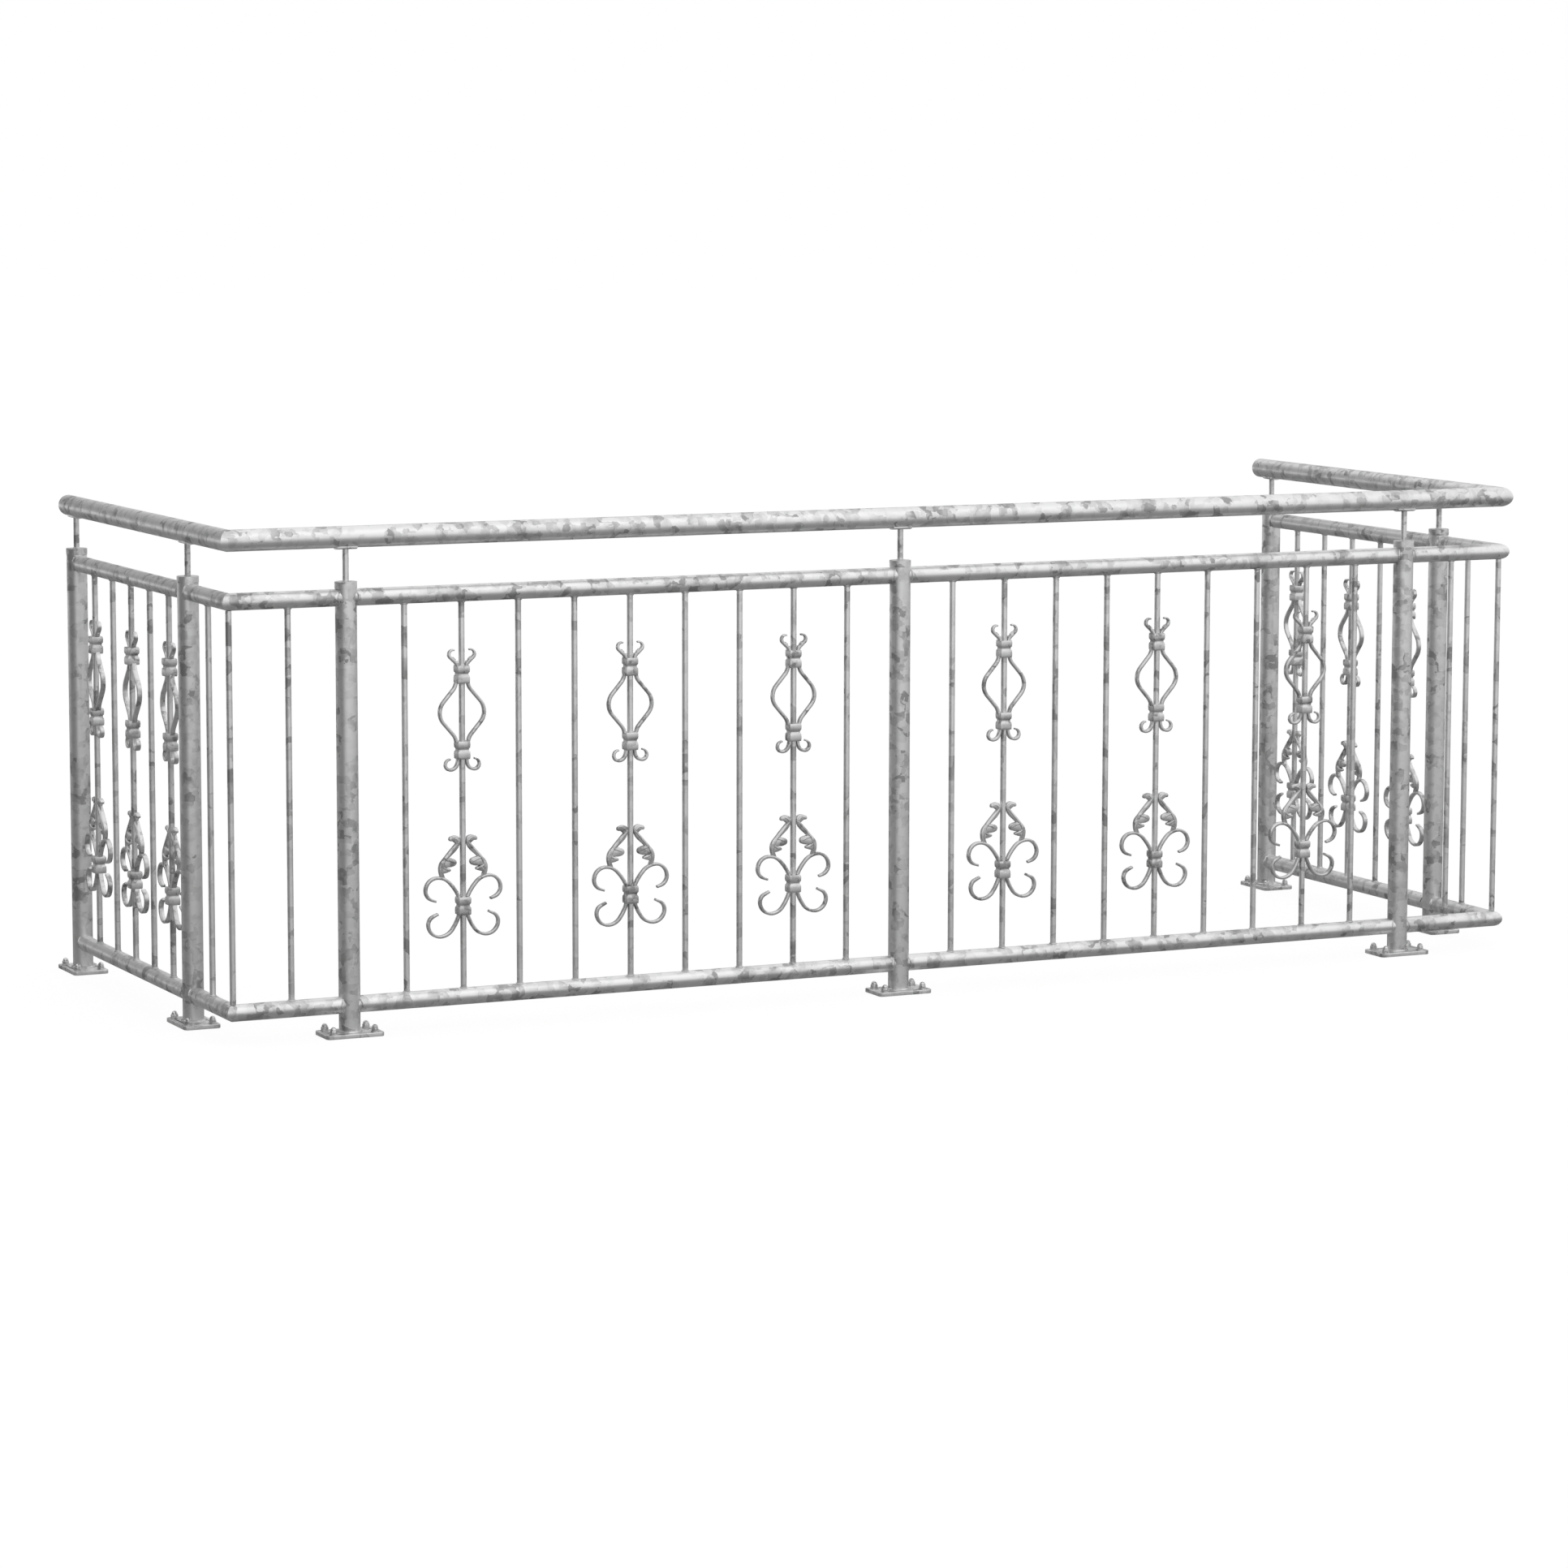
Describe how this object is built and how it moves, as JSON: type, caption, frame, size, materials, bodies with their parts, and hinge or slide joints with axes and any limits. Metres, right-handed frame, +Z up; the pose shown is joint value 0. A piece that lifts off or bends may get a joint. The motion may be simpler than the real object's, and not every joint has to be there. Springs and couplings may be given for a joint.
{
  "type": "balcony railing",
  "caption": "U-shaped tubular balcony railing with round balusters, cast lyre and scroll ornaments, base plates and a raised handrail.",
  "frame": {"origin": "centre of the underside of the whole railing, on the floor", "axes": "+X along the front from its left to its right end, +Y from the front to the rear, +Z up"},
  "size_m": [2.956, 1.058, 1],
  "materials": {
    "tube": "hot-dip galvanised, mottled grey zinc, satin",
    "bar": "hot-dip galvanised round bar, satin grey",
    "plate": "hot-dip galvanised plate, mottled grey",
    "fitting": "hot-dip galvanised fittings, satin grey",
    "ornament": "hot-dip galvanised ornament, soft grey"
  },
  "bodies": {
    "root": {"balusters_corner_left": "bar", "balusters_corner_right": "bar", "balusters_front_left": "bar", "balusters_front_right": "bar", "balusters_left": "bar", "balusters_right": "bar", "base_plates_front": "plate", "base_plates_sides": "plate", "collars_front_left": "ornament", "collars_front_right": "ornament", "collars_left": "ornament", "collars_right": "ornament", "handrail_brackets": "fitting", "handrail_end_caps": "fitting", "handrail_front": "tube", "handrail_left": "tube", "handrail_right": "tube", "lower_rail_corner_left": "tube", "lower_rail_corner_right": "tube", "lower_rail_front_left": "tube", "lower_rail_front_right": "tube", "lower_rail_left": "tube", "lower_rail_right": "tube", "lyres_front_left": "ornament", "lyres_front_right": "ornament", "lyres_left": "ornament", "lyres_right": "ornament", "post_caps": "fitting", "post_front_left": "tube", "post_front_middle": "tube", "post_front_right": "tube", "post_left_front": "tube", "post_left_rear": "tube", "post_right_front": "tube", "post_right_rear": "tube", "scrolls_front_left": "ornament", "scrolls_front_right": "ornament", "scrolls_left": "ornament", "scrolls_right": "ornament", "upper_rail_corner_left": "tube", "upper_rail_corner_right": "tube", "upper_rail_front_left": "tube", "upper_rail_front_right": "tube", "upper_rail_left": "tube", "upper_rail_right": "tube"}
  },
  "joints": []
}
